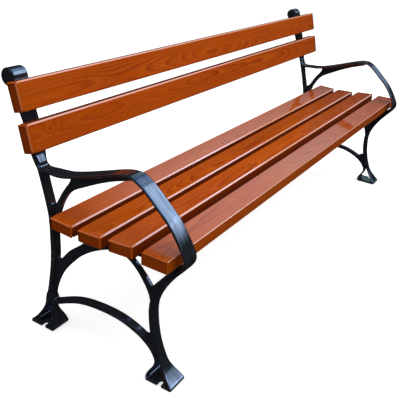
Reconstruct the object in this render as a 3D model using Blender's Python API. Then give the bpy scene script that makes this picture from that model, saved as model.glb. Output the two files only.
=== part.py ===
"""Garden bench: six boards carried by two cast-iron end frames.

Frame: metres, +Z up, the sitter faces -Y, the boards run along X.  The origin
is on the ground in the middle of the bench.
"""
import math

import bmesh
import bpy
from mathutils import Matrix, Vector

for old in list(bpy.data.objects):
    bpy.data.objects.remove(old, do_unlink=True)

MM = 0.001

# ---- driving dimensions -----------------------------------------------------
LENGTH = 1.800            # boards, and so the whole bench
BOARD_DEEP = 0.074        # wide side of every board
BOARD_THICK = 0.0345
BOARD_ROUND = 0.0035      # rounding along all board edges
GAP = 0.0004              # air left between neighbouring pieces
CENTRE_Y = -0.0026        # brings the finished bench over the middle of the origin

FRAME_X = {"left": -0.849, "right": 0.812}   # middle plane of each casting
FLANGE_HALF = 0.024       # post, arm and curl carry a 48 mm wide band
LEG_HALF = 0.013          # rear leg and post rib
WEB_HALF = 0.005
APART = 0.0001            # keeps the rail's web out of the plane of the arch
FILL_HALF = 0.0115        # metal that fills the ankles
RAIL_HALF = 0.018         # flange that the seat boards lie on
RAIL_THICK = 0.007
RAIL_DEEP = 0.016         # flange and its web together
FLANGE_THICK = 0.008

KNOB_Y, KNOB_Z, KNOB_R = 0.2605, 0.7015, 0.023
KNOB_HALF = 0.0237
KNOB_SIDES = 28

FOOT_HALF = 0.032         # foot sole, each way from the middle plane
SOLE_THICK = 0.0085
SLOT_WIDE = 0.0125
SLOT_DEEP = 0.019
REAR_SOLE = (0.142, 0.2255)
FRONT_SOLE = (-0.265, -0.182)
REAR_SLOT_Y = 0.180
FRONT_SLOT_Y = -0.2245

SCREW_R = 0.00285
HOLE_R = 0.0033
SCREW_BITE = 0.021        # length of screw inside a board
HEAD_FLAT = 0.010         # across the flats of the hexagon
HEAD_HIGH = 0.004
HEAD_SIDE = 0.0032        # upright part of the head, below its eased rim
HEAD_EASE = 0.9           # size of the head's end against its widest part
TIP_LONG, TIP_R = 0.004, 0.0008
SCREW_SIDES = 12
WASHER_R = 0.006
WASHER_THICK = 0.0012
WASHER_SIDES = 20
COUNTERBORE_R = 0.0068
PILOT_SPARE = 0.002       # pilot hole beyond the tip of the screw
RAIL_SCREW_IN = 0.0115    # rail screws stand beside the web
RAIL_SEAT_AIR = 0.0002    # under a washer that bears on the rail
THROUGH_POST = 0.040      # length of a counterbore that must come out behind the post
CUT_OVER = 0.004          # cutters start and end this far outside the metal
SLOT_OVER = 0.0005        # the slot ends just above the sole, under the flared toe
ROUND_SIDES = 16
SHARP_ANGLE = 32          # creases steeper than this stay sharp

# Millimetres in the casting's middle plane.
BEHIND_KNOB = (5, 12)     # the band runs on this far past the upper board, into the knob
INTO_FLANGE = 4           # the post's rib is buried this far in the band
RAIL_BACK, RAIL_FRONT, RAIL_WEB_FRONT = 147, -246, -238
WEB_LAP = 2.0             # the rail's web is buried this far in its flange

# Boards: name, centre y, centre z, slope of the wide side from level (degrees).
SEAT = (
    ("seat_slat_1", 0.0779, 0.3618, 2.9),
    ("seat_slat_2", -0.0147, 0.3608, -2.4),
    ("seat_slat_3", -0.1105, 0.3685, -4.0),
    ("seat_slat_4", -0.2103, 0.3683, 0.0),
)
BACK = (
    ("back_slat_lower", 0.1828, 0.5675, 90.0 - 13.4),
    ("back_slat_upper", 0.2092, 0.6664, 90.0 - 14.9),
)
# How far behind each backrest board its screw head is let into the post.
BACK_SEAT_DEPTH = {"back_slat_lower": 0.015, "back_slat_upper": 0.029}


# ---- materials --------------------------------------------------------------
def make_material(name, colour, metallic, roughness):
    mat = bpy.data.materials.new(name)
    mat.use_nodes = True
    shader = mat.node_tree.nodes["Principled BSDF"]
    shader.inputs["Base Color"].default_value = (*colour, 1.0)
    shader.inputs["Metallic"].default_value = metallic
    shader.inputs["Roughness"].default_value = roughness
    mat.diffuse_color = (*colour, 1.0)
    return mat


WOOD = ((0.42, 0.13, 0.03), 0.0, 0.35)
IRON = ((0.012, 0.013, 0.016), 0.0, 0.25)
STEEL = ((0.55, 0.56, 0.58), 1.0, 0.35)


def finish(obj, name, look):
    """Name the object, give it its own material and shade it smooth between creases."""
    obj.name = name
    mesh = obj.data
    mesh.materials.clear()
    mesh.materials.append(make_material(name, *look))
    mesh.shade_smooth()
    mesh.set_sharp_from_angle(angle=math.radians(SHARP_ANGLE))


# ---- shape helpers ----------------------------------------------------------
def smooth(stations, steps=3):
    """Centripetal Catmull-Rom curve through stations that begin with a y, z pair."""
    out = []
    last = len(stations) - 1
    for i in range(last):
        p0 = stations[max(i - 1, 0)]
        p1 = stations[i]
        p2 = stations[i + 1]
        p3 = stations[min(i + 2, last)]
        here = math.dist(p1[:2], p2[:2]) ** 0.5
        before = math.dist(p0[:2], p1[:2]) ** 0.5 or here
        after = math.dist(p2[:2], p3[:2]) ** 0.5 or here
        for k in range(steps):
            t = k / steps
            row = []
            for a, b, c, d in zip(p0, p1, p2, p3):
                leave = (c - b) + here * ((b - a) / before - (c - a) / (before + here))
                reach = (c - b) + here * ((d - c) / after - (d - b) / (after + here))
                row.append(b + leave * t + (3 * (c - b) - 2 * leave - reach) * t * t
                           + (2 * (b - c) + leave + reach) * t ** 3)
            out.append(tuple(row))
    out.append(tuple(stations[last]))
    return out


def mesh_from(name, verts, faces):
    mesh = bpy.data.meshes.new(name)
    mesh.from_pydata(verts, [], faces)
    bm = bmesh.new()
    bm.from_mesh(mesh)
    bmesh.ops.recalc_face_normals(bm, faces=bm.faces)
    bm.to_mesh(mesh)
    bm.free()
    return mesh


def add_object(name, mesh):
    obj = bpy.data.objects.new(name, mesh)
    bpy.context.scene.collection.objects.link(obj)
    return obj


def plate(outline, u_in, u_out):
    """Closed (y, z) outline in millimetres, thick from u_in to u_out."""
    count = len(outline)
    verts = [(u_in, y * MM, z * MM) for y, z in outline]
    verts += [(u_out, y * MM, z * MM) for y, z in outline]
    faces = [tuple(range(count)), tuple(range(2 * count - 1, count - 1, -1))]
    for i in range(count):
        j = (i + 1) % count
        faces.append((i, j, count + j, count + i))
    return add_object("body", mesh_from("body", verts, faces))


def ribbon(stations, side):
    """Bent bar.  Station: y, z of its face, thickness, half width (mm).

    side +1 puts the thickness to the left of the direction of travel, -1 to the right.
    """
    rows = smooth(stations)
    verts = []
    for i, (y, z, thick, half) in enumerate(rows):
        before = rows[max(i - 1, 0)]
        after = rows[min(i + 1, len(rows) - 1)]
        along = Vector((after[0] - before[0], after[1] - before[1])).normalized()
        y2 = y - along.y * thick * side
        z2 = z + along.x * thick * side
        for u, yy, zz in ((-half, y, z), (half, y, z), (half, y2, z2), (-half, y2, z2)):
            verts.append((u * MM, yy * MM, zz * MM))
    faces = [(0, 1, 2, 3)]
    for i in range(len(rows) - 1):
        a = 4 * i
        b = a + 4
        for k in range(4):
            m = (k + 1) % 4
            faces.append((a + k, a + m, b + m, b + k))
    end = 4 * (len(rows) - 1)
    faces.append((end + 3, end + 2, end + 1, end))
    return add_object("body", mesh_from("body", verts, faces))


def cylinder(start, end, radius, sides=ROUND_SIDES):
    """Plain round bar between two points."""
    start = Vector(start)
    axis = Vector(end) - start
    turn = Vector((0, 0, 1)).rotation_difference(axis).to_matrix()
    verts = []
    for height in (0.0, axis.length):
        for k in range(sides):
            angle = 2 * math.pi * (k + 0.5) / sides
            local = Vector((radius * math.cos(angle), radius * math.sin(angle), height))
            verts.append(start + turn @ local)
    faces = [tuple(range(sides)), tuple(range(2 * sides - 1, sides - 1, -1))]
    for k in range(sides):
        m = (k + 1) % sides
        faces.append((k, m, sides + m, sides + k))
    return add_object("body", mesh_from("body", verts, faces))


def combine(base, tools, operation):
    """Apply one exact Boolean with every tool, then drop the tools."""
    for tool in tools:
        mod = base.modifiers.new("join", "BOOLEAN")
        mod.operation = operation
        mod.solver = "EXACT"
        mod.object = tool
    graph = bpy.context.evaluated_depsgraph_get()
    mesh = bpy.data.meshes.new_from_object(base.evaluated_get(graph))
    base.modifiers.clear()
    base.data = mesh
    for tool in tools:
        bpy.data.objects.remove(tool, do_unlink=True)
    return base


def tidy(mesh):
    """Merge stray points and drop slivers left by the Booleans."""
    bm = bmesh.new()
    bm.from_mesh(mesh)
    bmesh.ops.remove_doubles(bm, verts=bm.verts, dist=0.00002)
    bmesh.ops.dissolve_degenerate(bm, dist=0.00001, edges=bm.edges)
    bmesh.ops.triangulate(bm, faces=bm.faces)
    bmesh.ops.recalc_face_normals(bm, faces=bm.faces)
    bm.to_mesh(mesh)
    bm.free()


# ---- where the boards lie ---------------------------------------------------
def board_axes(board):
    """Centre, wide direction and the direction out of the carried face, in (y, z)."""
    _, y, z, slope = board
    turn = math.radians(slope)
    centre = Vector((y, z))
    wide = Vector((math.cos(turn), math.sin(turn)))
    away = Vector((math.sin(turn), -math.cos(turn)))
    return centre, wide, away


def carried_edge(board):
    """Both ends of the board's carried face, moved off it by the air gap, in mm."""
    centre, wide, away = board_axes(board)
    low = centre - wide * BOARD_DEEP / 2 + away * (BOARD_THICK / 2 + GAP)
    high = centre + wide * BOARD_DEEP / 2 + away * (BOARD_THICK / 2 + GAP)
    return (low.x / MM, low.y / MM), (high.x / MM, high.y / MM)


# ---- one casting ------------------------------------------------------------
def band_stations():
    """Face of the long band: post, arm, curl, front branch, front leg, toe."""
    low_bottom, low_top = carried_edge(BACK[0])
    up_bottom, up_top = carried_edge(BACK[1])
    flange = FLANGE_THICK / MM
    wide = FLANGE_HALF / MM
    rows = [(up_top[0] + BEHIND_KNOB[0], up_top[1] + BEHIND_KNOB[1], flange, wide)]
    for y, z in (up_top, up_bottom, low_top, low_bottom):
        rows.append((y, z, flange, wide))
    rows += [
        (187.8, 512, 8, 22), (184.3, 500, 8, 20), (179.5, 490.5, 8, 19), (171, 484.5, 8, 19),
        (158, 483, 8, 20), (141, 484.5, 7.5, 21), (114, 485, 6.5, 24), (89, 488.5, 6.5, 24),
        (44, 501, 6.5, 24), (-16, 520.5, 6.5, 24), (-76, 540, 6.5, 24), (-103, 545, 6.5, 24),
        (-123, 544.5, 7, 24), (-143, 536, 7, 24), (-161, 523, 7, 24), (-191, 496.5, 7, 24),
        (-225, 465, 7, 24), (-250, 433, 7.5, 24), (-269.5, 401, 8, 24), (-277.5, 384, 8, 24),
        (-277.5, 368, 8, 24), (-269, 352, 8, 24), (-254, 334, 8.5, 22), (-237.4, 314, 9, 19),
        (-214.5, 282.6, 10, 16), (-197, 250, 13, 14), (-188, 223, 14.5, 14), (-186, 198, 14.5, 14),
        (-189.5, 155.6, 14.5, 14), (-198, 114.4, 14, 14), (-210, 80, 10, 14.5), (-221, 55, 7, 16),
        (-233, 37, 6.5, 21.5), (-245.5, 22, 6.5, 28), (-258, 9, 6.5, 31.5), (-261, 5, 6.5, 31.5),
    ]
    return rows


def post_and_rear_leg():
    rear = smooth([
        (258, 688), (253, 643), (238.4, 612.3), (229, 591.4), (214, 553), (199.8, 513.5),
        (187.5, 474), (176.3, 435), (165, 391), (157.5, 354.9), (156, 327.6), (155.2, 293),
        (155.2, 258.9), (158.2, 213.3), (165.5, 164.1), (173.1, 123.7), (183, 85)])
    front = smooth([
        (170, 81), (160, 124), (151.5, 168), (144.5, 213), (141, 244), (141.5, 293),
        (144, 338), (149, 378), (160, 420.6), (167, 446.5), (171.5, 468), (178, 496)])
    low_bottom, low_top = carried_edge(BACK[0])
    up_bottom, up_top = carried_edge(BACK[1])
    inside = [(y + INTO_FLANGE, z) for y, z in (low_bottom, low_top, up_bottom, up_top)]
    return plate(rear + front + inside, -LEG_HALF, LEG_HALF)


def arm_web():
    top = smooth([(-128, 540), (-103, 541), (-76, 536), (-16, 516.5), (44, 497), (72, 489)])
    window = smooth([(88, 484), (83, 477), (86.5, 468), (96, 455), (113.3, 431), (126, 409),
                     (137, 393), (156, 384)])
    low = smooth([(156, 372), (131, 354), (119.5, 379), (109.5, 403), (88, 436), (69, 451),
                  (39.1, 466.6), (-5.8, 489), (-48.7, 507.5), (-81, 518.5), (-107, 527)])
    return plate(top + window + low, -WEB_HALF, WEB_HALF)


def arch_web():
    under = smooth([
        (163, 100), (153, 111), (149, 128), (133.7, 168), (115.1, 199.5), (84.2, 236.4),
        (55.2, 265.2), (23.1, 289), (-8, 306.5), (-34, 318), (-62, 323), (-86, 321.5),
        (-104, 314), (-125.3, 297), (-145, 273.7), (-163.3, 243), (-169, 223), (-176, 202)])
    front = [(-180, 214), (-184, 246), (-176.5, 262)] + smooth([
        (-175, 264), (-158, 284.1), (-136.6, 306.8), (-119, 321.3), (-108, 337)])
    rail = [(-60, 344), (-14, 338), (10, 337)]
    rear = smooth([(16, 329), (34, 319), (58, 297.6), (95.4, 267.5), (128, 231), (133, 229),
                   (139, 231), (148, 238)])
    return plate(under + front + rail + rear, -WEB_HALF, WEB_HALF)


def branch_web():
    outline = [(-170, 250), (-173.5, 265.5), (-183.5, 279.5), (-208.5, 310), (-227.5, 330),
               (-247, 349), (-259, 363), (-265.5, 380), (-272, 380), (-270, 360), (-250, 336),
               (-208, 281), (-190, 246)]
    return plate(outline, -WEB_HALF, WEB_HALF)


def seat_rail():
    """Flange under the seat boards, and the web beneath it."""
    seats = [carried_edge(board) for board in SEAT]
    top = [(RAIL_BACK, seats[0][1][1] + 1)]
    for low, high in seats:
        top += [high, low]
    top[-1] = (RAIL_FRONT, seats[3][0][1])
    flange = plate(top + [(y, z - RAIL_THICK / MM) for y, z in reversed(top)], -RAIL_HALF, RAIL_HALF)
    upper = [(y, z - WEB_LAP) for y, z in top]
    lower = [(y, z - RAIL_DEEP / MM) for y, z in reversed(top)]
    lower[0] = (RAIL_WEB_FRONT, lower[0][1])
    web = plate(upper + lower, -WEB_HALF + APART, WEB_HALF - APART)
    return [flange, web]


def stretcher_and_heel():
    stations = [
        (172, 71, 13, 12), (152, 77, 13.5, 12), (133, 85, 14, 12), (100, 101, 14, 12),
        (65.3, 115, 13.5, 12), (28.2, 123.5, 13.5, 12), (-31.3, 127.8, 14, 12),
        (-64, 126.5, 14, 12), (-97.2, 121.2, 14, 12), (-143.9, 104, 14.5, 12),
        (-168, 89, 14, 12), (-184, 73, 12, 13), (-193.5, 58, 9, 14.5), (-194, 46, 7.5, 15.5),
        (-190, 35, 7, 19), (-181, 20, 7, 25), (-179, 8, 7, 31), (-180.8, 5, 7, 31.5),
    ]
    fill = [(-150, 110), (-172, 92), (-187, 76), (-200, 75), (-206, 88), (-197, 110), (-182, 128)]
    return [ribbon(stations, -1), plate(fill, -FILL_HALF, FILL_HALF)]


def rear_foot():
    heel = [
        (166, 153, 10, 12), (174, 118, 11, 12.5), (184, 80, 10, 13.5), (188.5, 62, 9, 15.5),
        (197, 43, 8.5, 20), (211, 22, 8, 27), (222, 8, 8, 31.5), (223.3, 5, 8, 31.5),
    ]
    toe = [
        (157, 96, 7, 12), (159.5, 74, 7, 13), (159.5, 57, 7, 14), (155.5, 41, 7, 20),
        (149, 25.5, 7, 27), (144.5, 11, 7, 31.5), (143.8, 5, 7, 31.5),
    ]
    fill = [(150, 80), (161, 74), (172, 74), (187, 80), (180, 108), (160, 108)]
    return [ribbon(heel, -1), ribbon(toe, 1), plate(fill, -FILL_HALF, FILL_HALF)]


def sole(ends):
    y0, y1 = ends
    corners = [(y0 / MM, 0), (y1 / MM, 0), (y1 / MM, SOLE_THICK / MM), (y0 / MM, SOLE_THICK / MM)]
    return plate(corners, -FOOT_HALF, FOOT_HALF)


def slot_cutter(middle):
    """Upright slot through the sole, open on the outer side, with a round inner end."""
    centre_u = FOOT_HALF - SLOT_DEEP + SLOT_WIDE / 2
    radius = SLOT_WIDE / 2
    rim = [(FOOT_HALF + CUT_OVER, -radius), (FOOT_HALF + CUT_OVER, radius)]
    for k in range(9):
        angle = math.pi / 2 + math.pi * k / 8
        rim.append((centre_u + radius * math.cos(angle), radius * math.sin(angle)))
    count = len(rim)
    verts = [(u, middle + v, -CUT_OVER) for u, v in rim]
    verts += [(u, middle + v, SOLE_THICK + SLOT_OVER) for u, v in rim]
    faces = [tuple(range(count)), tuple(range(2 * count - 1, count - 1, -1))]
    for i in range(count):
        j = (i + 1) % count
        faces.append((i, j, count + j, count + i))
    return add_object("body", mesh_from("body", verts, faces))


def knob():
    rim = []
    for k in range(KNOB_SIDES):
        angle = 2 * math.pi * k / KNOB_SIDES
        rim.append((KNOB_Y / MM + KNOB_R / MM * math.cos(angle),
                    KNOB_Z / MM + KNOB_R / MM * math.sin(angle)))
    return plate(rim, -KNOB_HALF, KNOB_HALF)


def screw_line(board, u):
    """Points on a screw's axis: a function of the distance behind the carried face."""
    centre, _, away = board_axes(board)

    def at(depth):
        spot = centre + away * (BOARD_THICK / 2 + depth)
        return Vector((u, spot.x, spot.y))
    return at


def casting(side, hand):
    """End frame; hand -1 turns its outer side to -X, +1 to +X."""
    name = "end_frame_" + side
    base = ribbon(band_stations(), 1)
    bodies = [post_and_rear_leg(), arm_web(), arch_web(), branch_web(), knob()]
    bodies += seat_rail() + stretcher_and_heel() + rear_foot()
    bodies += [sole(REAR_SOLE), sole(FRONT_SOLE)]
    combine(base, bodies, "UNION")
    cutters = [slot_cutter(REAR_SLOT_Y), slot_cutter(FRONT_SLOT_Y)]
    for board in SEAT:
        at = screw_line(board, -RAIL_SCREW_IN)
        cutters.append(cylinder(at(-CUT_OVER), at(RAIL_THICK + CUT_OVER), HOLE_R))
    for board in BACK:
        at = screw_line(board, 0.0)
        depth = BACK_SEAT_DEPTH[board[0]]
        cutters.append(cylinder(at(-CUT_OVER), at(depth + CUT_OVER), HOLE_R))
        cutters.append(cylinder(at(depth), at(depth + THROUGH_POST), COUNTERBORE_R))
    combine(base, cutters, "DIFFERENCE")
    mesh = base.data
    mesh.transform(Matrix.Scale(hand, 4, (1, 0, 0)))
    tidy(mesh)
    base.location = (FRAME_X[side], 0, 0)
    finish(base, name, IRON)
    return base


# ---- boards -----------------------------------------------------------------
def board_object(board):
    name = board[0]
    centre, _, _ = board_axes(board)
    half = (LENGTH / 2, BOARD_DEEP / 2, BOARD_THICK / 2)
    bm = bmesh.new()
    bmesh.ops.create_cube(bm, size=2.0, matrix=Matrix.Diagonal((*half, 1.0)))
    bmesh.ops.bevel(bm, geom=bm.edges[:], offset=BOARD_ROUND, segments=3, profile=0.5,
                    affect="EDGES")
    mesh = bpy.data.meshes.new(name)
    bm.to_mesh(mesh)
    bm.free()
    obj = add_object(name, mesh)
    pilots = []
    for x in screw_xs(board):
        mouth = (x, 0, -half[2] - CUT_OVER)
        bottom = (x, 0, -half[2] + SCREW_BITE + PILOT_SPARE)
        pilots.append(cylinder(mouth, bottom, HOLE_R))
    combine(obj, pilots, "DIFFERENCE")
    tidy(obj.data)
    obj.location = (0, centre.x, centre.y)
    obj.rotation_euler = (math.radians(board[3]), 0, 0)
    finish(obj, name, WOOD)
    return obj


def screw_xs(board):
    offset = RAIL_SCREW_IN if board in SEAT else 0.0
    return (FRAME_X["left"] + offset, FRAME_X["right"] - offset)


# ---- screws and washers -----------------------------------------------------
def screw_mesh(length):
    """Hexagon head below z = 0, round shank above it, pointed tip."""
    outer = HEAD_FLAT / 2
    sides = SCREW_SIDES
    rings = []
    hexagon = []
    circle = []
    for k in range(sides):
        angle = 2 * math.pi * k / sides
        reach = outer if k % 2 else outer / math.cos(math.pi / 6)
        hexagon.append((reach * math.cos(angle), reach * math.sin(angle)))
        circle.append((math.cos(angle), math.sin(angle)))
    rings.append([(x * HEAD_EASE, y * HEAD_EASE, -HEAD_HIGH) for x, y in hexagon])
    rings.append([(x, y, -HEAD_SIDE) for x, y in hexagon])
    rings.append([(x, y, 0.0) for x, y in hexagon])
    rings.append([(x * SCREW_R, y * SCREW_R, 0.0) for x, y in circle])
    rings.append([(x * SCREW_R, y * SCREW_R, length - TIP_LONG) for x, y in circle])
    rings.append([(x * TIP_R, y * TIP_R, length) for x, y in circle])
    verts = [p for ring in rings for p in ring]
    faces = [tuple(range(sides - 1, -1, -1))]
    for r in range(len(rings) - 1):
        low = sides * r
        high = low + sides
        for k in range(sides):
            m = (k + 1) % sides
            faces.append((low + k, low + m, high + m, high + k))
    top = sides * (len(rings) - 1)
    faces.append(tuple(range(top, top + sides)))
    return mesh_from("screw", verts, faces)


def washer_mesh():
    verts = []
    sides = WASHER_SIDES
    for radius, z in ((WASHER_R, 0), (WASHER_R, WASHER_THICK), (HOLE_R, WASHER_THICK), (HOLE_R, 0)):
        for k in range(sides):
            angle = 2 * math.pi * k / sides
            verts.append((radius * math.cos(angle), radius * math.sin(angle), z))
    faces = []
    for ring in range(4):
        after = (ring + 1) % 4
        for k in range(sides):
            m = (k + 1) % sides
            faces.append((ring * sides + k, ring * sides + m, after * sides + m, after * sides + k))
    return mesh_from("washer", verts, faces)


def place_fasteners():
    for board in SEAT + BACK:
        name = board[0]
        seat = BACK_SEAT_DEPTH.get(name, RAIL_THICK + RAIL_SEAT_AIR)
        shank = SCREW_BITE + seat + WASHER_THICK + 2 * GAP
        for side, x in zip(("left", "right"), screw_xs(board)):
            at = screw_line(board, x)
            inward = at(0.0) - at(1.0)
            turn = Vector((0, 0, 1)).rotation_difference(inward).to_euler()
            washer = add_object("washer", washer_mesh())
            washer.location = at(seat + GAP + WASHER_THICK)
            washer.rotation_euler = turn
            finish(washer, "washer_%s_%s" % (name, side), STEEL)
            screw = add_object("screw", screw_mesh(shank))
            screw.location = at(seat + 2 * GAP + WASHER_THICK)
            screw.rotation_euler = turn
            finish(screw, "screw_%s_%s" % (name, side), STEEL)


casting("left", -1)
casting("right", 1)
for item in SEAT + BACK:
    board_object(item)
place_fasteners()
for obj in bpy.context.scene.objects:
    obj.location.y += CENTRE_Y
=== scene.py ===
"""Garden bench: lacquered boards on two gloss-black castings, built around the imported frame."""
import math

import bmesh
import bpy
from mathutils import Matrix, Vector, noise


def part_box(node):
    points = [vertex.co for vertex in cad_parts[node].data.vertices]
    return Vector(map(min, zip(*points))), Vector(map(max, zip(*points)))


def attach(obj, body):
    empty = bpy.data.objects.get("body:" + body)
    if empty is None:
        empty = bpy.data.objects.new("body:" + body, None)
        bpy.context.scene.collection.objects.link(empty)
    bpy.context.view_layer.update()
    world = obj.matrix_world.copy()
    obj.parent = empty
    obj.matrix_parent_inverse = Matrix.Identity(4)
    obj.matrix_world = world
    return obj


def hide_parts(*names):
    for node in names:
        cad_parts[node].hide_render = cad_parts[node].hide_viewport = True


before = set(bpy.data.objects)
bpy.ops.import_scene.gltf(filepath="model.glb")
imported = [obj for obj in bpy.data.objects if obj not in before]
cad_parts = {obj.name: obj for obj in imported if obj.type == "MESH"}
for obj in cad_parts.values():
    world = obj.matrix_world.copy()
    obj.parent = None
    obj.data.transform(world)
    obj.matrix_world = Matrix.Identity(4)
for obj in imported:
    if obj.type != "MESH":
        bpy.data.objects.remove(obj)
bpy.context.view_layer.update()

MM = 0.001

# ---- what the part's drawing says: boards, in metres ------------------------
BOARD_DEEP = 0.074        # wide side of every board
BOARD_THICK = 0.0345
CHAMFER = 0.0036          # flat on the edges of the show face
WORN_CHAMFER = 0.0014     # the same on the front board
UNDER_CHAMFER = 0.0013    # flat on the edges of the carried face
ARRIS = 0.0009            # rounding where a flat meets a face
WEAR = 0.00012            # how uneven a board's section is along its length
WEAR_RATE = 7.0           # waves of it per metre
BOARD_SPANS = 150         # mesh spans along a board
AIR = 0.0004              # air between a board and the casting under it

# Board: slope of its wide side from level (degrees), seed of its grain.
BOARDS = {
    "seat_slat_1": (2.9, 11), "seat_slat_2": (-2.4, 23), "seat_slat_3": (-4.0, 37),
    "seat_slat_4": (0.0, 41), "back_slat_lower": (76.6, 53), "back_slat_upper": (75.1, 67),
}
BACKREST = ("back_slat_lower", "back_slat_upper")
FRONT_BOARD = "seat_slat_4"

# Recesses for the heads of the backrest's screws, bored from the rear.
COUNTERBORE_R = 0.0068
COUNTERBORE_AT = {"back_slat_lower": 0.015, "back_slat_upper": 0.029}   # floor, from the board
COUNTERBORE_LONG = 0.05   # more than reaches the rear of the rib

# ---- the same: castings, in millimetres -------------------------------------
FLANGE = 8.0              # thickness of the band behind the backrest
BAND_HALF = 24.0
BAND_END = (5, 12)        # y and z from the upper board's top corner to the band's end
LEG_HALF = 13.0
WEB_HALF = 5.0
RIB_START = 4             # how far behind the band's face the rib starts
RAIL_HALF, RAIL_THICK = 18.0, 7.0
RAIL_DEEP = 16.0          # depth of the rail with its web
RAIL_REAR, RAIL_FRONT = 147, -246   # y of its ends
RAIL_LIFT = 1             # rise of the rail's rear end over the rear board's edge
WEB_FRONT = -238          # y at which the web's lower edge ends
WEB_INSET = 2.0           # how far below the rail's top the web starts
KNOB_Y, KNOB_Z, KNOB_R = 260.5, 701.5, 23.0
KNOB_HALF, KNOB_RIM = 23.7, 3.0
SOLE_HALF, SOLE_THICK = 32.0, 8.5
REAR_SOLE, REAR_SLOT = (142.0, 225.5), 180.0        # y of both ends and of the slot
FRONT_SOLE, FRONT_SLOT = (-260.0, -182.0), -224.5
SLOT_WIDE, SLOT_DEEP = 12.5, 19.0
FRONT_FILL_HALF, REAR_FILL_HALF = 10.5, 11.5        # metal between heel and leg
BAND_ROUND = 2.2          # radius along the edges of the bands
BAR_ROUND = 4.0           # the same on the stretcher
GROOVE_DEEP = 3.0
GROOVE_MOUTH, GROOVE_FLOOR = (0.32, 0.68), (0.38, 0.62)   # shares of the bar's thickness
CENTRE_Y = -0.0026        # in metres: every outline is drawn before this shift

VOXEL = 0.0016            # grid on which a casting's limbs are blended together (m)
BLEND_STEPS = 5           # rounds of smoothing after that


# ---- small mesh helpers -----------------------------------------------------
def smooth(stations, steps=9):
    """Centripetal Catmull-Rom curve through stations that begin with a y, z pair."""
    out = []
    last = len(stations) - 1
    for i in range(last):
        p0 = stations[max(i - 1, 0)]
        p1 = stations[i]
        p2 = stations[i + 1]
        p3 = stations[min(i + 2, last)]
        here = math.dist(p1[:2], p2[:2]) ** 0.5
        before = math.dist(p0[:2], p1[:2]) ** 0.5 or here
        after = math.dist(p2[:2], p3[:2]) ** 0.5 or here
        for k in range(steps):
            t = k / steps
            row = []
            for a, b, c, d in zip(p0, p1, p2, p3):
                leave = (c - b) + here * ((b - a) / before - (c - a) / (before + here))
                reach = (c - b) + here * ((d - c) / after - (d - b) / (after + here))
                row.append(b + leave * t + (3 * (c - b) - 2 * leave - reach) * t * t
                           + (2 * (b - c) + leave + reach) * t ** 3)
            out.append(tuple(row))
    out.append(tuple(stations[last]))
    return out


def mesh_from(name, verts, faces):
    """Mesh whose faces all look outwards."""
    mesh = bpy.data.meshes.new(name)
    mesh.from_pydata(verts, [], faces)
    bm = bmesh.new()
    bm.from_mesh(mesh)
    bmesh.ops.recalc_face_normals(bm, faces=bm.faces)
    bm.to_mesh(mesh)
    bm.free()
    return mesh


def add_object(name, data):
    """New object in the scene."""
    obj = bpy.data.objects.new(name, data)
    bpy.context.scene.collection.objects.link(obj)
    return obj


def loft(loops):
    """Closed skin over loops of equally many points, with flat ends."""
    count = len(loops[0])
    verts = [p for loop in loops for p in loop]
    faces = [tuple(range(count))]
    for i in range(len(loops) - 1):
        a = count * i
        for k in range(count):
            m = (k + 1) % count
            faces.append((a + k, a + m, a + count + m, a + count + k))
    last = count * (len(loops) - 1)
    faces.append(tuple(range(last + count - 1, last - 1, -1)))
    return add_object("body", mesh_from("body", verts, faces))


def around(radius, sides):
    """Points of a circle about (0, 0), one for each side."""
    angles = [2 * math.pi * k / sides for k in range(sides)]
    return [(radius * math.cos(angle), radius * math.sin(angle)) for angle in angles]


def at(u, y, z):
    """Point in metres of a casting's drawing in millimetres; u leads out of the (y, z) plane."""
    return (u * MM, y * MM + CENTRE_Y, z * MM)


def plate(outline, half):
    """Closed (y, z) outline that reaches half to both sides of the middle plane."""
    return loft([[at(u, y, z) for y, z in outline] for u in (-half, half)])


def rounded_section(half, thick, radius, groove, steps=4):
    """Rounded rectangle as (u, depth) pairs: u across the band, depth into it; grooved flanks."""
    radius = min(radius, thick / 2.05)
    corners = ((half - radius, radius, -90), (half - radius, thick - radius, 0),
               (-half + radius, thick - radius, 90), (-half + radius, radius, 180))
    section = []
    for u, depth, start in corners:
        for k in range(steps + 1):
            angle = math.radians(start + 90 * k / steps)
            section.append((u + radius * math.cos(angle), depth + radius * math.sin(angle)))
        if groove and start in (-90, 90):
            flank = math.copysign(half, u)
            floor = math.copysign(half - groove, u)
            cut = [(flank, GROOVE_MOUTH[0]), (floor, GROOVE_FLOOR[0]),
                   (floor, GROOVE_FLOOR[1]), (flank, GROOVE_MOUTH[1])]
            if start == 90:
                cut.reverse()
            section += [(across, thick * share) for across, share in cut]
    return section


def ribbon(stations, side, radius=BAND_ROUND, groove=0.0):
    """Bent bar through stations of y and z of its face, thickness and half width.

    side is +1 where the metal lies left of the way along the stations, with y to the right
    and z up, and -1 where it lies right.
    """
    rows = smooth(stations)
    loops = []
    for i, (y, z, thick, half) in enumerate(rows):
        before = rows[max(i - 1, 0)]
        after = rows[min(i + 1, len(rows) - 1)]
        along = Vector((after[0] - before[0], after[1] - before[1])).normalized()
        loops.append([at(u, y - along.y * depth * side, z + along.x * depth * side)
                      for u, depth in rounded_section(half, thick, radius, groove)])
    return loft(loops)


def cylinder(start, end, radius, sides=40):
    """Round bar between two points in metres."""
    start = Vector(start)
    axis = Vector(end) - start
    turn = Vector((0, 0, 1)).rotation_difference(axis).to_matrix()
    return loft([[start + turn @ Vector((x, y, height)) for x, y in around(radius, sides)]
                 for height in (0.0, axis.length)])


def baked(obj):
    """The object's mesh with its modifiers applied."""
    graph = bpy.context.evaluated_depsgraph_get()
    return bpy.data.meshes.new_from_object(obj.evaluated_get(graph))


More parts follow.
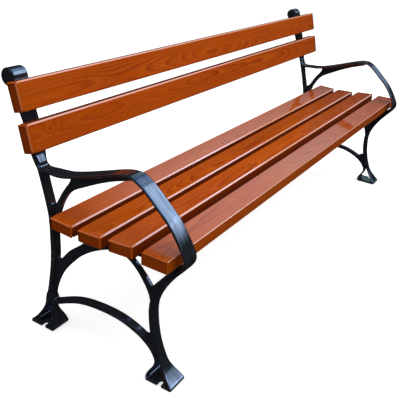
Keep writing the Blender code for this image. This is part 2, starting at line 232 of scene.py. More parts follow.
# ---- where the boards lie ---------------------------------------------------
def board_axes(name):
    """Centre, wide direction and the direction out of the carried face, in (y, z), metres."""
    low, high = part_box(name)
    turn = math.radians(BOARDS[name][0])
    centre = Vector(((low[1] + high[1]) / 2 - CENTRE_Y, (low[2] + high[2]) / 2))
    wide = Vector((math.cos(turn), math.sin(turn)))
    away = Vector((math.sin(turn), -math.cos(turn)))
    return centre, wide, away


def carried_edge(name):
    """Both ends of the board's carried face, moved off it by the air gap, in millimetres."""
    centre, wide, away = board_axes(name)
    face = away * (BOARD_THICK / 2 + AIR)
    low = centre - wide * BOARD_DEEP / 2 + face
    high = centre + wide * BOARD_DEEP / 2 + face
    return (low.x / MM, low.y / MM), (high.x / MM, high.y / MM)


# ---- limbs of a casting, drawn in its middle plane (y, z in millimetres) ----
def long_band():
    """Post, arm, curl, front branch, front leg and toe in one bent band."""
    low_bottom, low_top = carried_edge("back_slat_lower")
    up_bottom, up_top = carried_edge("back_slat_upper")
    end = (up_top[0] + BAND_END[0], up_top[1] + BAND_END[1])
    rows = [(y, z, FLANGE, BAND_HALF) for y, z in (end, up_top, up_bottom, low_top, low_bottom)]
    rows += [
        (187.8, 512, 8, 22), (184.3, 500, 8, 20), (179.5, 490.5, 8, 19), (171, 484.5, 8, 19),
        (158, 483, 8, 20), (141, 484.5, 7.5, 21),
        (114, 485, 6.5, 24), (89, 488.5, 6.5, 24), (44, 501, 6.5, 24), (-16, 520.5, 6.5, 24),
        (-76, 540, 6.5, 24), (-103, 545, 6.5, 24), (-123, 544.5, 7, 24), (-143, 536, 7, 24),
        (-161, 523, 7, 24), (-191, 496.5, 7, 24), (-225, 465, 7, 24), (-250, 433, 7.5, 24),
        (-269.5, 401, 8, 24), (-277.5, 384, 8, 24), (-277.5, 368, 8, 24), (-269, 352, 8, 24),
        (-254, 334, 8.5, 22), (-237.4, 314, 9, 19), (-214.5, 282.6, 10, 16),
        (-197, 250, 13, 14), (-188, 223, 14.5, 14), (-186, 198, 14.5, 14),
        (-189.5, 155.6, 14.5, 14), (-198, 114.4, 14, 14), (-210, 80, 10, 14.5),
        (-221, 55, 7, 16), (-233, 37, 6.5, 21.5), (-245.5, 22.5, 6.5, 28),
        (-257, 10.5, 6.5, 31.5), (-263.3, 4.0, 5, 31.5),
    ]
    return ribbon(rows, 1)


def rear_leg():
    """Rib behind the post, running down into the rear leg, with the two screw recesses."""
    rear = smooth([
        (258, 688), (253, 643), (238.4, 612.3), (229, 591.4), (214, 553), (199.8, 513.5),
        (187.5, 474), (176.3, 435), (165, 391), (157.5, 354.9), (156, 327.6), (155.2, 293),
        (155.2, 258.9), (158.2, 213.3), (165.5, 164.1), (173.1, 123.7), (183, 85)])
    front = smooth([
        (170, 81), (160, 124), (151.5, 168), (144.5, 213), (141, 244), (141.5, 293),
        (144, 338), (149, 378), (160, 420.6), (167, 446.5), (171.5, 468), (178, 496)])
    inside = [(y + RIB_START, z) for name in BACKREST for y, z in carried_edge(name)]
    rib = plate(rear + front + inside, LEG_HALF)
    for name in BACKREST:
        sink_recess(rib, name)
    return rib


def sink_recess(rib, name):
    """Bore a screw's recess into the rib from the rear, behind one backrest board."""
    centre, _, away = board_axes(name)
    near = centre + away * (BOARD_THICK / 2 + COUNTERBORE_AT[name])
    far = near + away * COUNTERBORE_LONG
    cutter = cylinder((0, near.x + CENTRE_Y, near.y), (0, far.x + CENTRE_Y, far.y), COUNTERBORE_R)
    mod = rib.modifiers.new("recess", "BOOLEAN")
    mod.operation = "DIFFERENCE"
    mod.solver = "EXACT"
    mod.object = cutter
    rib.data = baked(rib)
    rib.modifiers.clear()
    bpy.data.objects.remove(cutter)


def arm_web():
    """Plate under the arm, with its brace down to the post."""
    top = smooth([(-128, 540), (-103, 541), (-76, 536), (-16, 516.5), (44, 497), (72, 489)])
    window = smooth([(88, 484), (83, 477), (86.5, 468), (96, 455), (113.3, 431), (126, 409),
                     (137, 393), (156, 384)])
    low = smooth([(156, 372), (131, 354), (119.5, 379), (109.5, 403), (88, 436), (69, 451),
                  (39.1, 466.6), (-5.8, 489), (-48.7, 507.5), (-81, 518.5), (-107, 527)])
    return plate(top + window + low, WEB_HALF)


def arch_web():
    """Arch between the legs, with its crown under the seat rail."""
    under = smooth([
        (163, 100), (153, 111), (149, 128), (133.7, 168), (115.1, 199.5), (84.2, 236.4),
        (55.2, 265.2), (23.1, 289), (-8, 306.5), (-34, 318), (-62, 323), (-86, 321.5),
        (-104, 314), (-125.3, 297), (-145, 273.7), (-163.3, 243), (-169, 223), (-176, 202)])
    front = [(-180, 214), (-184, 246), (-176.5, 262)] + smooth([
        (-175, 264), (-158, 284.1), (-136.6, 306.8), (-119, 321.3), (-108, 337)])
    rail = [(-60, 344), (-14, 338), (10, 337)]
    rear = smooth([(16, 329), (34, 319), (58, 297.6), (95.4, 267.5), (128, 231), (133, 229),
                   (139, 231), (148, 238)])
    return plate(under + front + rail + rear, WEB_HALF)


def branch_web():
    """Web along the inner side of the front branch."""
    outline = [(-170, 250), (-173.5, 265.5), (-183.5, 279.5), (-208.5, 310), (-227.5, 330),
               (-247, 349), (-259, 363), (-265.5, 380), (-272, 380), (-270, 360), (-250, 336),
               (-208, 281), (-190, 246)]
    return plate(outline, WEB_HALF)


def seat_rail():
    """Flange that carries the seat boards, and the web under it."""
    seats = [carried_edge("seat_slat_%d" % k) for k in (1, 2, 3, 4)]
    top = [(RAIL_REAR, seats[0][1][1] + RAIL_LIFT)]
    for low, high in seats:
        top += [high, low]
    top[-1] = (RAIL_FRONT, seats[-1][0][1])
    under = [(y, z - RAIL_THICK) for y, z in reversed(top)]
    flange = plate(top + under, RAIL_HALF)
    inset = [(y, z - WEB_INSET) for y, z in top]
    foot = [(y, z - RAIL_DEEP) for y, z in reversed(top)]
    foot[0] = (WEB_FRONT, foot[0][1])
    return [flange, plate(inset + foot, WEB_HALF)]


def stretcher():
    """Bowed bar from the rear leg to the front leg, and the heel that it meets there."""
    bar = [
        (172, 71, 13, 12), (152, 77, 13.5, 12), (133, 85, 14, 12), (100, 101, 14, 12),
        (65.3, 115, 13.5, 12), (28.2, 123.5, 13.5, 12), (-31.3, 127.8, 14, 12),
        (-64, 126.5, 14, 12), (-97.2, 121.2, 14, 12), (-143.9, 104, 14.5, 12), (-168, 89, 14, 12),
    ]
    heel = [
        (-143.9, 104, 14.5, 11), (-168, 89, 14, 12), (-184, 73, 12, 13), (-193.5, 58, 9, 14.5),
        (-194, 46, 7.5, 15.5), (-190, 35, 7, 19), (-181, 20, 7, 25), (-179, 8, 7, 31),
        (-180.8, 5, 7, 31.5),
    ]
    fill = [(-150, 110), (-172, 92), (-187, 76), (-200, 75), (-206, 88), (-197, 110), (-182, 128)]
    return [ribbon(bar, -1, BAR_ROUND, GROOVE_DEEP), ribbon(heel, -1), plate(fill, FRONT_FILL_HALF)]


def rear_foot():
    """Heel and toe of the rear foot, and the metal between them at the end of the leg."""
    heel = [
        (166, 153, 10, 12), (174, 118, 11, 12.5), (184, 80, 10, 13.5), (188.5, 62, 9, 15.5),
        (197, 43, 8.5, 20), (211, 22, 8, 27), (222, 8, 8, 31.5), (223.3, 5, 8, 31.5),
    ]
    toe = [
        (157, 96, 7, 12), (159.5, 74, 7, 13), (159.5, 57, 7, 14), (155.5, 41, 7, 20),
        (149, 25.5, 7, 27), (144.5, 11, 7, 31.5), (143.8, 5, 7, 31.5),
    ]
    fill = [(150, 80), (161, 74), (172, 74), (187, 80), (180, 108), (160, 108)]
    return [ribbon(heel, -1), ribbon(toe, 1), plate(fill, REAR_FILL_HALF)]


def sole(ends, slot, steps=12):
    """Flat foot plate with a slot that is open on the casting's outer side."""
    front, rear = ends
    radius = SLOT_WIDE / 2
    bottom = SOLE_HALF - SLOT_DEEP + radius
    outline = [(SOLE_HALF, slot + radius), (SOLE_HALF, rear), (-SOLE_HALF, rear),
               (-SOLE_HALF, front), (SOLE_HALF, front), (SOLE_HALF, slot - radius)]
    for k in range(steps + 1):
        angle = math.radians(-90 - 180 * k / steps)
        outline.append((bottom + radius * math.cos(angle), slot + radius * math.sin(angle)))
    return loft([[at(u, y, z) for u, y in outline] for z in (0.0, SOLE_THICK)])


def knob(steps=6, sides=72):
    """Roll at the top of the post, rounded over at both rims."""
    profile = []
    for k in range(steps + 1):
        angle = math.radians(90 * k / steps)
        profile.append((-KNOB_HALF + KNOB_RIM - KNOB_RIM * math.cos(angle),
                        KNOB_R - KNOB_RIM + KNOB_RIM * math.sin(angle)))
    profile += [(-u, radius) for u, radius in reversed(profile)]
    return loft([[at(u, KNOB_Y + y, KNOB_Z + z) for y, z in around(radius, sides)]
                 for u, radius in profile])


def casting_mesh():
    """All limbs blended into one skin, outer side towards +X."""
    limbs = [long_band(), rear_leg(), arm_web(), arch_web(), branch_web(), knob()]
    limbs += seat_rail() + stretcher() + rear_foot()
    limbs += [sole(REAR_SOLE, REAR_SLOT), sole(FRONT_SOLE, FRONT_SLOT)]
    bm = bmesh.new()
    for limb in limbs:
        bm.from_mesh(limb.data)
        bpy.data.objects.remove(limb)
    mesh = bpy.data.meshes.new("casting")
    bm.to_mesh(mesh)
    bm.free()
    rough = add_object("casting", mesh)
    grid = rough.modifiers.new("blend", "REMESH")
    grid.mode = "VOXEL"
    grid.voxel_size = VOXEL
    relax = rough.modifiers.new("relax", "SMOOTH")
    relax.factor = 0.5
    relax.iterations = BLEND_STEPS
    skin = baked(rough)
    bpy.data.objects.remove(rough)
    return skin


# ---- node helpers -----------------------------------------------------------
class Tree:
    """Short way to add nodes to a material or world."""

    def __init__(self, owner):
        owner.use_nodes = True
        self.tree = owner.node_tree
        self.tree.nodes.clear()

    def add(self, kind, inputs=(), **settings):
        node = self.tree.nodes.new("ShaderNode" + kind)
        for key, value in settings.items():
            setattr(node, key, value)
        for key, value in dict(inputs).items():
            self.feed(node.inputs[key], value)
        return node

    def feed(self, socket, value):
        if isinstance(value, bpy.types.NodeSocket):
            self.tree.links.new(value, socket)
        else:
            socket.default_value = value

    def math(self, operation, a, b=0.0, c=0.0):
        return self.add("Math", {0: a, 1: b, 2: c}, operation=operation).outputs[0]

    def times(self, a, b):
        return self.math("MULTIPLY", a, b)

    def length(self, a, b):
        """Length of the vector (a, b)."""
        return self.math("SQRT", self.math("ADD", self.times(a, a), self.times(b, b)))

    def along(self, vector, direction):
        """How far the vector reaches along the direction."""
        node = self.add("VectorMath", {0: vector, 1: direction}, operation="DOT_PRODUCT")
        return node.outputs["Value"]

    def mix(self, factor, a, b, blend="MIX"):
        """From colour a to colour b, each a socket or (r, g, b)."""
        node = self.add("Mix", data_type="RGBA", blend_type=blend)
        self.feed(node.inputs["Factor"], factor)
        for index, colour in ((6, a), (7, b)):
            self.feed(node.inputs[index], (*colour, 1) if isinstance(colour, tuple) else colour)
        return node.outputs[2]

    def layered(self, colour, layers):
        """The colour under layers of (mask, colour), the last one on top."""
        for mask, tone in layers:
            colour = self.mix(mask, colour, tone)
        return colour

    def noise(self, vector, scale, detail=3.0, rough=0.5, distort=0.0):
        node = self.add("TexNoise", {"Vector": vector, "Scale": scale, "Detail": detail,
                                     "Roughness": rough, "Distortion": distort})
        return node.outputs["Fac"]

    def stretch(self, vector, scale, offset=(0, 0, 0)):
        return self.add("Mapping", {"Vector": vector, "Scale": scale, "Location": offset}).outputs[0]

    def grain(self, vector, in_x, in_yz, detail=3.0, rough=0.5, distort=0.0, offset=(0, 0, 0)):
        """Noise with in_x features per metre along X and in_yz features along Y and Z."""
        drawn = self.stretch(vector, (in_x, in_yz, in_yz), offset)
        return self.noise(drawn, 1.0, detail, rough, distort)

    def spread(self, value, low, high, to_low=0.0, to_high=1.0):
        """Soft step: to_low where the value is low, to_high where it is high."""
        node = self.add("MapRange", {"Value": value, "From Min": low, "From Max": high,
                                     "To Min": to_low, "To Max": to_high},
                        interpolation_type="SMOOTHSTEP")
        return node.outputs[0]

    def split(self, vector):
        return self.add("SeparateXYZ", {0: vector}).outputs

    def bump(self, height, distance, strength=1.0, normal=None):
        node = self.add("Bump", {"Height": height, "Distance": distance, "Strength": strength})
        if normal is not None:
            self.feed(node.inputs["Normal"], normal)
        return node.outputs[0]


# ---- materials --------------------------------------------------------------
BACK_LIGHT, BACK_DARK = (0.47, 0.077, 0.0014), (0.28, 0.031, 0.0006)
SEAT_LIGHT, SEAT_DARK = (0.50, 0.088, 0.0030), (0.31, 0.037, 0.0010)
CHAMFER_HIGHLIGHT = (0.80, 0.40, 0.26)   # painted highlight on the lit arris, also mixed into the upper end chamfers
PALE_TINT, WARM_TINT = (1.22, 1.55, 2.2), (1.12, 1.25, 1.3)
DEEP_TINT, BROWN_TINT = (0.45,) * 3, (0.50,) * 3
END_HIGHLIGHT_SHARE = 0.18      # share of the painted highlight colour in the upper end chamfers
CORNER = (1.25, 1.38)   # two parts of a normal add up to 1 on a face, to 1.41 on its chamfer
END_FACE, NARROW_FACE = (0.78, 0.97), (0.80, 0.95)   # how far a normal turns towards them
# strength of the painted highlights on the arris and end chamfers, and of the real stain on the ends
HIGHLIGHT_STRENGTH, END_STAIN = 0.80, 0.60
NOISE_SPAN = (0.3, 0.7)                              # where most of a noise's values lie

LOG_SIDE, LOG_SWAY, LOG_SWING = -0.025, 0.050, 0.018   # the log's heart, across the board (m)
LOG_DEPTH, LOG_DRIFT = 0.010, 0.070                   # and below its middle
RINGS = 290.0           # growth rings per metre out of the heart
RING_WAVER = 2.4        # how many rings the figure sways by
EARLY_WOOD, LATE_WOOD, RING_EDGE = (0.02, 0.34), (0.45, 0.92), (0.93, 1.0)   # shares of a ring

# Painted shade on the narrow sides facing another seat board, where the gaps between the boards lie in
# shade.
INNER_SEAT, GAP_SHADE = ("seat_slat_1", "seat_slat_2", "seat_slat_3"), 0.85

# Knots along and across a board, from its middle, and their dark hearts (m).
KNOTS = {"back_slat_lower": ((-0.828, 0.010),), "seat_slat_3": ((0.31, -0.012),),
         "back_slat_upper": ((0.42, 0.006),)}
KNOT_HEART = (0.0012, 0.0042)
KNOT_PUSH, KNOT_TIGHT = 0.006, 5000.0   # how far rings bend round a knot, how closely
KNOT_REACH, CORE_REACH = 0.35, 0.8      # below 1: longer along the board than across it
EULER = 2.718

PAINT, DUST = (0.0125, 0.0145, 0.0180), (0.028, 0.031, 0.037)
DULL_SHADE_FOOT, DULL_SHADE_TOP = (0.075, 0.115), (0.375, 0.345)   # heights of the band with less gloss under the seat: duller paint, and painted shade of the seat on its reflections (m)
DULL_SHADE_LOSS = 0.62     # share of the gloss that is lost there
ZINC_DARK, ZINC_LIGHT = (0.50, 0.51, 0.52), (0.66, 0.67, 0.68)
FLOOR_DARK, FLOOR_LIGHT = (0.90, 0.90, 0.90), (0.93, 0.93, 0.93)


def tinted(colour, tint):
    """Colour times a factor for each channel."""
    return tuple(min(1.0, c * k) for c, k in zip(colour, tint))


def growth_rings(t, where, moved, seed, knots):
    """Early and late wood of rings whose heart lies under the board and wanders along it."""
    x, y, z = t.split(where)[0:3]
    drift = t.grain(moved, 1.1, 0.0, 1.5)
    sway = t.grain(moved, 0.8, 0.0, 1.5, offset=(7, 0, 0))
    side = t.math("MULTIPLY_ADD", sway, LOG_SWAY, LOG_SIDE + LOG_SWING * math.sin(seed))
    depth = t.math("MULTIPLY_ADD", drift, LOG_DRIFT, LOG_DEPTH)
    radius = t.length(t.math("SUBTRACT", y, side), t.math("ADD", z, depth))
    for knot_x, knot_y in knots:
        gap_x = t.math("SUBTRACT", x, knot_x)
        gap_y = t.math("SUBTRACT", y, knot_y)
        near = t.math("ADD", t.times(gap_x, t.times(gap_x, KNOT_REACH)), t.times(gap_y, gap_y))
        bell = t.math("POWER", EULER, t.times(near, -KNOT_TIGHT))
        radius = t.math("ADD", radius, t.times(KNOT_PUSH, bell))
    wave = t.grain(moved, 4.0, 18.0)
    phase = t.math("ADD", t.times(radius, RINGS), t.times(wave, RING_WAVER))
    ring = t.math("FRACT", phase)
    early = t.spread(ring, *EARLY_WOOD, 1.0, 0.0)
    late = t.times(t.spread(ring, *LATE_WOOD), t.spread(ring, *RING_EDGE, 1.0, 0.0))
    return early, late


def knot_hearts(t, where, deep, knots):
    """Layers with a dark spot in the middle of each knot."""
    x, y = t.split(where)[0:2]
    layers = []
    for knot_x, knot_y in knots:
        gap_x = t.times(t.math("SUBTRACT", x, knot_x), CORE_REACH)
        gap_y = t.math("SUBTRACT", y, knot_y)
        layers.append((t.spread(t.length(gap_x, gap_y), *KNOT_HEART, 0.85, 0.0), deep))
    return layers


def edge_layers(t, warm, brown, lit_side, shaded):
    """Layers with a painted highlight on the lit arris and on the upper end chamfers, brown ends and
    painted shade on the narrow sides.
    """
    slant = t.split(t.add("TexCoord").outputs["Normal"])
    facing_end = t.math("ABSOLUTE", slant[0])
    facing_arris = t.math("MULTIPLY_ADD", slant[1], lit_side, slant[2])
    facing_tip = t.math("ADD", facing_end, slant[2])
    # upper end chamfers: warm wood with some painted highlight mixed in
    end_highlight = tuple((1 - END_HIGHLIGHT_SHARE) * w + END_HIGHLIGHT_SHARE * r for w, r in zip(warm, CHAMFER_HIGHLIGHT))
    # The first two layers are painted highlights, one on the lit arris and one on the upper end
    # chamfers.
    return [(t.spread(facing_arris, *CORNER, 0.0, HIGHLIGHT_STRENGTH), CHAMFER_HIGHLIGHT),
            (t.spread(facing_tip, *CORNER, 0.0, HIGHLIGHT_STRENGTH), end_highlight),
            (t.spread(facing_end, *END_FACE, 0.0, END_STAIN), brown),
            # painted shade on the narrow sides that face another seat board
            (t.spread(t.math("ABSOLUTE", slant[1]), *NARROW_FACE, 0.0, shaded), brown)]


def lacquered_wood(name, seed, light, dark, lit_side, knots=(), shaded=0.0):
    """Growth rings seen through a semi-gloss lacquer.  The board runs along its own X.

    The side argument, +1 or -1, picks the side along the board's own Y whose arris gets a painted
    highlight.
    """
    mat = bpy.data.materials.new(name)
    t = Tree(mat)
    where = t.add("TexCoord").outputs["Object"]
    moved = t.stretch(where, (1, 1, 1), (seed * 0.37, seed * 0.13, seed * 0.21))
    early, late = growth_rings(t, where, moved, seed, knots)
    fibre = t.grain(moved, 9.0, 420.0, 3.0, 0.6)
    pores = t.spread(t.grain(moved, 38.0, 900.0, 1.0), 0.60, 0.72)
    patch = t.grain(moved, 2.2, 11.0, 2.0)
    strength = t.spread(t.grain(moved, 1.3, 9.0, 1.0, offset=(3, 1, 2)), 0.35, 0.65, 0.40, 1.0)

    deep = tinted(dark, DEEP_TINT)
    warm = tinted(light, WARM_TINT)
    layers = [(t.times(late, strength), dark),
              (t.times(t.times(early, strength), 0.75), tinted(light, PALE_TINT)),
              (t.spread(fibre, 0.25, 0.75, 0.0, 0.45), dark),
              (t.times(pores, 0.28), deep),
              (t.spread(patch, 0.35, 0.70, 0.0, 0.35), warm)]
    layers += knot_hearts(t, where, deep, knots)
    layers += edge_layers(t, warm, tinted(dark, BROWN_TINT), lit_side, shaded)

    sheen = t.grain(moved, 14.0, 60.0)
    height = t.math("ADD", t.times(fibre, 0.6), t.times(late, 0.4))
    shader = t.add("BsdfPrincipled", {
        "Base Color": t.layered(light, layers),
        "Roughness": t.spread(sheen, *NOISE_SPAN, 0.20, 0.32),
        "IOR": 1.5, "Specular IOR Level": 0.04,
        "Coat Weight": 1.0, "Coat Roughness": 0.06, "Coat IOR": 1.5,
        "Normal": t.bump(height, 0.00012, 0.6),
        "Coat Normal": t.bump(t.grain(moved, 20.0, 120.0, 2.0), 0.00008, 0.5)})
    t.add("OutputMaterial", {"Surface": shader.outputs[0]})
    return mat


def gloss_black(name, seed):
    """Brushed gloss paint over a slightly uneven casting, with dust; under the seat the gloss is cut,
    partly for duller paint and partly as painted shade of the seat on the reflections.
    """
    mat = bpy.data.materials.new(name)
    t = Tree(mat)
    object_space = t.add("TexCoord").outputs["Object"]
    where = t.stretch(object_space, (1, 1, 1), (seed, seed * 0.7, seed * 0.3))
    streak = t.grain(where, 60.0, 9.0, 4.0, 0.6, 0.4)
    dust = t.times(t.spread(t.noise(where, 14.0, 4.0, 0.6), 0.45, 0.75), t.spread(streak, 0.35, 0.8))
    rough = t.math("ADD", t.spread(streak, 0.3, 0.75, 0.13, 0.26), t.times(dust, 0.10))

    # Waves of the casting, brush marks over them, then orange peel and grit.
    swell = t.bump(t.noise(where, 30.0, 2.0, 0.4), 0.0009, 0.5)
    drawn = t.bump(streak, 0.0006, 0.6, swell)
    peel = t.bump(t.noise(where, 260.0, 2.0, 0.5), 0.00012, 0.6, drawn)
    grit = t.bump(t.noise(where, 900.0, 2.0, 0.7), 0.00005, 0.4, peel)

    # Less gloss under the seat: partly duller paint, partly painted shade of the seat on the
    # reflections.
    height = t.split(object_space)[2]
    dull_and_shade = t.times(t.spread(height, *DULL_SHADE_FOOT), t.spread(height, *DULL_SHADE_TOP))
    brushed = t.spread(t.grain(where, 210.0, 11.0, 3.0, 0.55, 0.3), 0.36, 0.60, 0.55, 1.0)
    gloss = t.times(t.math("SUBTRACT", 1.0, t.times(dull_and_shade, DULL_SHADE_LOSS)), brushed)
    shader = t.add("BsdfPrincipled", {
        "Base Color": t.mix(dust, PAINT, DUST), "Roughness": rough,
        "IOR": 1.5, "Specular IOR Level": 0.08,
        "Coat Weight": gloss, "Coat Roughness": 0.05, "Coat IOR": 1.95,
        "Normal": grit, "Coat Normal": peel})
    t.add("OutputMaterial", {"Surface": shader.outputs[0]})
    return mat


def zinc(name, seed):
    """Zinc-plated steel with a faint spangle."""
    mat = bpy.data.materials.new(name)
    t = Tree(mat)
    where = t.stretch(t.add("TexCoord").outputs["Object"], (1, 1, 1), (seed, 0, seed))
    cells = t.add("TexVoronoi", {"Vector": where, "Scale": 700.0}).outputs["Distance"]
    haze = t.noise(where, 180.0, 3.0)
    shader = t.add("BsdfPrincipled", {
        "Base Color": t.mix(haze, ZINC_DARK, ZINC_LIGHT), "Metallic": 1.0,
        "Roughness": t.spread(haze, *NOISE_SPAN, 0.28, 0.48),
        "Normal": t.bump(cells, 0.00004, 0.5)})
    t.add("OutputMaterial", {"Surface": shader.outputs[0]})
    return mat


# ---- boards -----------------------------------------------------------------
def eased_corner(side, steps=3):
    """Quarter of a board's section: a flat chamfer whose two arrises are just rounded."""
    inset = side + ARRIS * math.tan(math.radians(22.5))
    points = []
    for first, (x, y) in ((0, (-ARRIS, -inset)), (45, (-inset, -ARRIS))):
        for k in range(steps + 1):
            angle = math.radians(first + 45 * k / steps)
            points.append((x + ARRIS * math.cos(angle), y + ARRIS * math.sin(angle)))
    return points


def board_mesh(name, length, seed, chamfer):
    """Planed board with chamfered edges and ends, a hair uneven along its length."""
    half = (length / 2, BOARD_DEEP / 2, BOARD_THICK / 2)
    corners = {1: eased_corner(chamfer), -1: eased_corner(UNDER_CHAMFER)}
    stops = [(-half[0] - cut_x, -cut_y) for cut_y, cut_x in corners[1]]
    start = stops[-1][0]
    inner = [(start - 2 * start * k / BOARD_SPANS, 0.0) for k in range(1, BOARD_SPANS)]
    stops = stops + inner + [(-x, cut) for x, cut in reversed(stops)]
    loops = []
    for x, cut in stops:
        wear = WEAR * (1 + noise.noise(Vector((x * WEAR_RATE, 0.3, seed))))
        tall, thin = half[1] - cut - wear, half[2] - cut - wear
        loop = []
        for sy, sz, turned in ((1, 1, False), (-1, 1, True), (-1, -1, False), (1, -1, True)):
            quarter = [(sy * (tall + a), sz * (thin + b)) for a, b in corners[sz]]
            loop += reversed(quarter) if turned else quarter
        loops.append([(x, y, z) for y, z in loop])
    body = loft(loops)
    body.data.shade_smooth()
    flat = body.modifiers.new("flat", "WEIGHTED_NORMAL")
    flat.mode = "FACE_AREA"
    flat.weight = 100
    mesh = baked(body)
    bpy.data.objects.remove(body)
    mesh.name = name
    return mesh


def build_board(name):
    """One board in the place of its CAD node, with a figure of its own."""
    slope, seed = BOARDS[name]
    low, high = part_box(name)
    chamfer = WORN_CHAMFER if name == FRONT_BOARD else CHAMFER
    mesh = board_mesh(name, high[0] - low[0], seed, chamfer)
    piece = add_object("board_" + name, mesh)
    centre = [(a + b) / 2 for a, b in zip(low, high)]
    piece.matrix_world = Matrix.Translation(centre) @ Matrix.Rotation(math.radians(slope), 4, "X")
    back = name in BACKREST
    light, dark = (BACK_LIGHT, BACK_DARK) if back else (SEAT_LIGHT, SEAT_DARK)
    # painted shade on the narrow sides in the gaps between seat boards
    shaded = GAP_SHADE if name in INNER_SEAT else 0.0
    # the lit arris is the upper one on the backrest and the front one on the seat, and it gets the
    # painted highlight
    lacquer = lacquered_wood("lacquer_" + name, seed, light, dark, lit_side=1 if back else -1,
                             knots=KNOTS.get(name, ()), shaded=shaded)
    mesh.materials.append(lacquer)
    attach(piece, "root")
    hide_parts(name)


# ---- castings and fasteners -------------------------------------------------
def build_castings():
    """Both end frames; the left one is the mirror image."""
    skin = casting_mesh()
    for side, hand in (("left", -1), ("right", 1)):
        node = "end_frame_" + side
        low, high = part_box(node)
        mesh = skin.copy()
        mesh.name = "casting_" + side
        mesh.transform(Matrix.Scale(hand, 4, (1, 0, 0)))
        if hand < 0:
            mesh.flip_normals()
        mesh.shade_smooth()
        mesh.materials.clear()
        mesh.materials.append(gloss_black("gloss_black_" + side, 3.0 + hand))
        piece = add_object("casting_" + side, mesh)
        piece.location = ((low[0] + high[0]) / 2, 0, 0)
        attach(piece, "root")
        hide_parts(node)


def dress_fasteners():
    """The CAD screws and washers stay, with a plated finish each."""
    for index, (name, node) in enumerate(sorted(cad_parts.items())):
        if name.startswith(("screw_", "washer_")):
            node.data.materials.clear()
            node.data.materials.append(zinc("zinc_" + name, 0.5 * index))


# ---- stage, light and camera ------------------------------------------------
FLOOR_HALF = 30.0
FLOOR_BOTTOM, FLOOR_TOP = -0.02, -0.0005   # its top is a hair under the feet
FLOOR_GLOW = 0.50

# Matt light, by the height it comes from.
FILL_BELOW, FILL_LEVEL, FILL_ABOVE = (0.14,) * 3, (0.85,) * 3, (0.50,) * 3
FILL_LOW_EDGE, FILL_HIGH_EDGE = (-0.20, 0.05), (0.40, 0.75)

# What gloss reflects: an opening behind the bench, over a tree line that climbs towards the
# rear and dimmer near the horizon, then high sky, and a dark canopy high up in the rear.
TREE_SLOPE, TREE_EDGE = 0.80, (-0.045, 0.090)
REAR_EDGE = (0.15, 0.30)
HAZE_EDGE = (0.24, 0.38, 0.35, 1.0)
HIGH_EDGE = (0.45, 0.80)
CANOPY_AT, CANOPY_EDGE = (0.0, 0.66, 0.75), (0.64, 0.77, 0.0, 0.95)
UNDERGROWTH = (0.012, 0.014, 0.018)
LOW_SKY = (0.52, 0.84, 0.93)
HIGH_SKY = (0.30, 0.62, 1.50)
CLOUD = (0.55, 0.60, 0.70)
CLOUD_SCALE, CLOUD_COVER = (2.2, 2.2, 5.0), (0.45, 0.70, 0.0, 0.25)

# Bright patches at the front right: middle, cosines at which a patch ends and is full, rises
# at which it starts and is full, strength.
GLOW = (4.6, 6.4, 9.7)
GLOW_LOBES = (((0.72, -0.42, 0.55), (0.968, 0.990), (0.20, 0.40), 1.0),
              ((0.62, -0.70, 0.36), (0.920, 0.975), (0.17, 0.50), 1.0),
              ((0.948, -0.20, 0.25), (0.984, 0.996), (0.15, 0.25), 0.15),
              ((0.72, -0.12, 0.68), (0.955, 0.990), (0.30, 0.50), 0.22))
GLOW_CLOUDS = (0.38, 0.58, 0.50, 1.0)     # thin cloud that breaks up the patches
FIRST_REFLECTION = 1.5                    # between the first reflection and the second

# Softbox: place, size, watts, colour.
SOFTBOXES = {"key_softbox": ((2.6, -2.6, 3.2), (2.4, 2.4), 55.0, (1.0, 0.97, 0.93)),
             "top_softbox": ((-0.4, -0.6, 3.6), (3.5, 2.5), 60.0, (1.0, 1.0, 1.0))}
LIGHTS_AIM = (0, 0, 0.35)

CAMERA_TURN = (-59.43, 25.49, 4.00)        # azimuth, elevation and roll (degrees)
CAMERA_PLACE = (-1.835, -0.874, 1.0795)
CAMERA_LENS, CAMERA_SENSOR = 53.36, 36.0


def build_stage():
    """Pale floor that takes only a faint contact shadow."""
    corners = [(-FLOOR_HALF, -FLOOR_HALF), (FLOOR_HALF, -FLOOR_HALF),
               (FLOOR_HALF, FLOOR_HALF), (-FLOOR_HALF, FLOOR_HALF)]
    floor = loft([[(x, y, z) for x, y in corners] for z in (FLOOR_BOTTOM, FLOOR_TOP)])
    floor.name = "floor"
    mat = bpy.data.materials.new("pale_floor")
    t = Tree(mat)
    where = t.add("TexCoord").outputs["Object"]
    shader = t.add("BsdfPrincipled", {
        "Base Color": t.mix(t.noise(where, 3.0, 3.0), FLOOR_DARK, FLOOR_LIGHT),
        "Roughness": 0.9, "Specular IOR Level": 0.1,
        "Emission Color": (1, 1, 1, 1), "Emission Strength": FLOOR_GLOW})
    t.add("OutputMaterial", {"Surface": shader.outputs[0]})
    floor.data.materials.append(mat)
    floor.visible_glossy = False
    floor.visible_diffuse = False


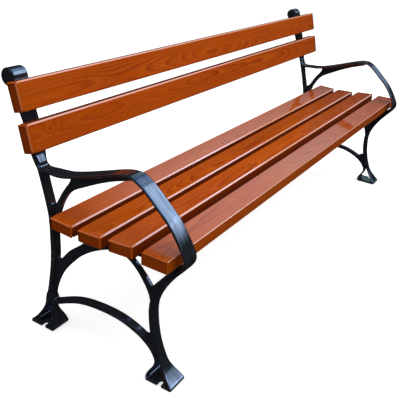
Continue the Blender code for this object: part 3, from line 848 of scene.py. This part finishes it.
def reflected_sky(t, toward, rise, first_hit):
    """Colour that gloss sees in a direction; first_hit is 1 on the first reflection only."""
    cloud = t.noise(t.stretch(toward, CLOUD_SCALE), 1.0, 4.0, 0.55)
    rearward = t.split(toward)[1]
    above_trees = t.math("SUBTRACT", rise, t.times(rearward, TREE_SLOPE))
    opening = t.times(t.spread(above_trees, *TREE_EDGE), t.spread(rearward, *REAR_EDGE))
    opening = t.times(opening, t.spread(rise, *HAZE_EDGE))
    sky = t.mix(opening, UNDERGROWTH, LOW_SKY)
    sky = t.mix(t.spread(rise, *HIGH_EDGE), sky, HIGH_SKY)
    sky = t.mix(t.spread(cloud, *CLOUD_COVER), sky, CLOUD, "MULTIPLY")
    sky = t.mix(t.spread(t.along(toward, CANOPY_AT), *CANOPY_EDGE), sky, UNDERGROWTH)
    glow = 0.0
    for middle, edge, climb, strength in GLOW_LOBES:
        lobe = t.times(t.spread(t.along(toward, middle), *edge), t.spread(rise, *climb, 0.0, strength))
        glow = t.math("MAXIMUM", glow, lobe)
    glow = t.times(glow, t.spread(cloud, *GLOW_CLOUDS))
    return t.mix(t.times(glow, first_hit), sky, GLOW)


def build_world():
    """Soft neutral fill for matt light; gloss reflects a sky that matt surfaces don't get."""
    world = bpy.data.worlds.new("sky")
    world.cycles.sampling_method = "NONE"
    bpy.context.scene.world = world
    t = Tree(world)
    toward = t.add("TexCoord").outputs["Generated"]
    rise = t.split(toward)[2]
    rays = t.add("LightPath").outputs
    first_hit = t.math("LESS_THAN", rays["Glossy Depth"], FIRST_REFLECTION)
    reflected = t.add("Background", {
        "Color": reflected_sky(t, toward, rise, first_hit), "Strength": 1.0})
    soft = t.mix(t.spread(rise, *FILL_LOW_EDGE), FILL_BELOW, FILL_LEVEL)
    soft = t.mix(t.spread(rise, *FILL_HIGH_EDGE), soft, FILL_ABOVE)
    fill = t.add("Background", {"Color": soft, "Strength": 1.0})
    both = t.add("MixShader", {0: rays["Is Glossy Ray"], 1: fill.outputs[0], 2: reflected.outputs[0]})
    t.add("OutputWorld", {"Surface": both.outputs[0]})


def area_light(name, place, size, watts, colour):
    """Softbox that looks at the bench and doesn't show in reflections."""
    data = bpy.data.lights.new(name, "AREA")
    data.shape = "RECTANGLE"
    data.size, data.size_y = size
    data.energy = watts
    data.color = colour
    lamp = add_object(name, data)
    lamp.location = place
    aim = Vector(LIGHTS_AIM) - Vector(place)
    lamp.rotation_euler = aim.to_track_quat("-Z", "Y").to_euler()
    lamp.visible_glossy = False


def build_camera():
    """Looks down on the bench from the sitter's right, slightly rolled."""
    azimuth, elevation, roll = (math.radians(a) for a in CAMERA_TURN)
    back = Vector((math.sin(azimuth) * math.cos(elevation),
                   -math.cos(azimuth) * math.cos(elevation), math.sin(elevation)))
    level = (-back).cross(Vector((0, 0, 1))).normalized()
    upright = level.cross(-back)
    right = level * math.cos(roll) + upright * math.sin(roll)
    up = upright * math.cos(roll) - level * math.sin(roll)
    data = bpy.data.cameras.new("camera")
    data.sensor_width = CAMERA_SENSOR
    data.lens = CAMERA_LENS
    data.clip_end = 200.0
    camera = add_object("camera", data)
    turn = Matrix((right, up, back)).transposed().to_4x4()
    camera.matrix_world = Matrix.Translation(CAMERA_PLACE) @ turn
    bpy.context.scene.camera = camera


for board in BOARDS:
    build_board(board)
build_castings()
dress_fasteners()
build_stage()
build_world()
for lamp_name, setting in SOFTBOXES.items():
    area_light(lamp_name, *setting)
build_camera()
bpy.context.scene.view_settings.view_transform = "Standard"
